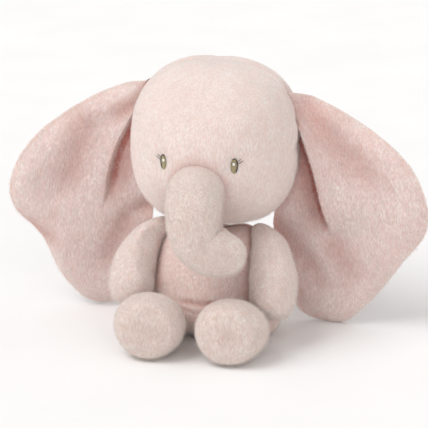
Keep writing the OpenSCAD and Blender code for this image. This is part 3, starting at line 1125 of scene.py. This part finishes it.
# For each cover: its material, its fibre, the way its pile is combed, the height of its tufts, the length
# of its fibres, how many stand on it, and its relief
FINISHES = {
    "head_cover": (head_skin, head_fibre, (0, -0.3, -1), 0.16, 1.7, 44000, head_relief),
    "trunk_cover": (foot_skin, foot_fibre, (0.1, -0.2, -1), 0.34, 3.0, 16000, trunk_relief),
    "torso_cover": (belly_skin, body_fibre, (0, -0.2, -1), 0.34, 3.0, 28000, torso_relief),
    "ear_left_cover": (ear_skin, ear_fibre, (0.5, 0, -1), 0.3, 2.8, 46000, ear_relief),
    "ear_right_cover": (ear_skin, ear_fibre, (-0.5, 0, -1), 0.3, 2.8, 46000, ear_relief),
    "arm_left_cover": (arm_skin, body_fibre, (0.2, -0.3, -1), 0.34, 3.0, 12000, arm_relief),
    "arm_right_cover": (arm_skin, body_fibre, (-0.2, -0.3, -1), 0.34, 3.0, 12000, arm_relief),
    "leg_left_cover": (foot_skin, foot_fibre, (0.3, 0, -0.6), 0.34, 3.0, 12000, leg_relief),
    "leg_right_cover": (foot_skin, foot_fibre, (-0.3, 0, -0.6), 0.34, 3.0, 12000, leg_relief),
    "tail_cover": (belly_skin, body_fibre, (0, 0.2, -1), 0.34, 3.0, 1500, tail_relief),
}
# The covers that each one is pressed against, where painted shade darkens its pile
LIMBS = ["arm_left_cover", "arm_right_cover", "leg_left_cover", "leg_right_cover"]
NEIGHBOURS = {
    "torso_cover": LIMBS + ["tail_cover", "trunk_cover"],
    "head_cover": ["trunk_cover", "ear_left_cover", "ear_right_cover", "torso_cover"],
    "trunk_cover": ["head_cover", "torso_cover"],
    **{limb: ["torso_cover"] for limb in LIMBS},
    "ear_left_cover": ["head_cover", "arm_left_cover"],
    "ear_right_cover": ["head_cover", "arm_right_cover"],
}
PRESS_SHADE = {"head_cover": 0.3, "trunk_cover": 0.3}
PRESS_SHADE_ELSEWHERE = 0.4
PRESS_POWER = 1.6  # above 1, the shade gathers where covers touch
piece = {}
# Painted shade of each cover, in its seams, creases and folds and where it touches others
creases = {}
for number, (name, finish) in enumerate(FINISHES.items()):
    skin, fibre, comb, tuft_height, length, strands, relief = finish
    made = covers[name]["object"]
    refine(made)
    made.data.materials.clear()
    made.data.materials.append(skin)
    folds = shape_ear(made, name.split("_")[1]) if name.startswith("ear") else 0
    points = read_points(made.data)
    pile = tufts(points, comb, 100 + 20 * number)
    standing = eye_clearance(points) if name == "head_cover" else np.ones(len(points))
    # Each relief gives a height and the painted shade of its seams and creases
    height, creases[name] = relief(points)
    creases[name] = np.maximum(creases[name], folds)
    emboss(made, height + tuft_height * pile * standing)
    # The tuft heights also set the painted shade low between the tufts
    keep_shade(made, "tuft", pile)
    rest_on_floor(made)
    if name == "head_cover":
        set_group(made, "pile", standing)
    grow_pile(made, fibre, length, strands, comb, 50 + number)
    piece[name] = made

# Painted shade where one cover lies close against another
for name, neighbours in NEIGHBOURS.items():
    close = nearness(piece[name], [piece[other] for other in neighbours])
    pressed = PRESS_SHADE.get(name, PRESS_SHADE_ELSEWHERE) * close**PRESS_POWER
    creases[name] = np.maximum(creases[name], pressed)
for name, made in piece.items():
    keep_shade(made, "crease", creases[name])
for side in ("left", "right"):
    add_eye(piece["head_cover"], side)
add_closing_stitches(piece["torso_cover"], pink_thread)
add_care_label(white_thread)
neck_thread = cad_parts["neck_seam"]
neck_thread.data.materials.clear()
neck_thread.data.materials.append(pink_thread)

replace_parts(piece["head_cover"], "head_front_panel", "head_back_panel", "head_filling")
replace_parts(piece["trunk_cover"], "trunk_left_panel", "trunk_right_panel", "trunk_filling")
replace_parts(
    piece["torso_cover"], "torso_front_panel", "torso_back_panel", "torso_filling", "seat_pellet_bag"
)
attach(piece["head_cover"], "head")
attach(piece["torso_cover"], "torso")
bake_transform(piece["trunk_cover"])
for side, turn in (("left", 1), ("right", -1)):
    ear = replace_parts(
        piece[f"ear_{side}_cover"], f"ear_{side}_front", f"ear_{side}_back", f"ear_{side}_wadding"
    )
    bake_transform(ear)
    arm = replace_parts(
        piece[f"arm_{side}_cover"], f"arm_{side}_outer", f"arm_{side}_inner", f"arm_{side}_filling"
    )
    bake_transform(arm)
    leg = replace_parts(
        piece[f"leg_{side}_cover"], f"leg_{side}_tube", f"leg_{side}_sole", f"leg_{side}_filling"
    )
    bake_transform(leg)
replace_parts(piece["tail_cover"], "tail")
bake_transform(piece["tail_cover"])
for name, made in piece.items():
    {"head": "plush_head", "ear": "plush_ear"}.get(name.split("_")[0], "plush_body")
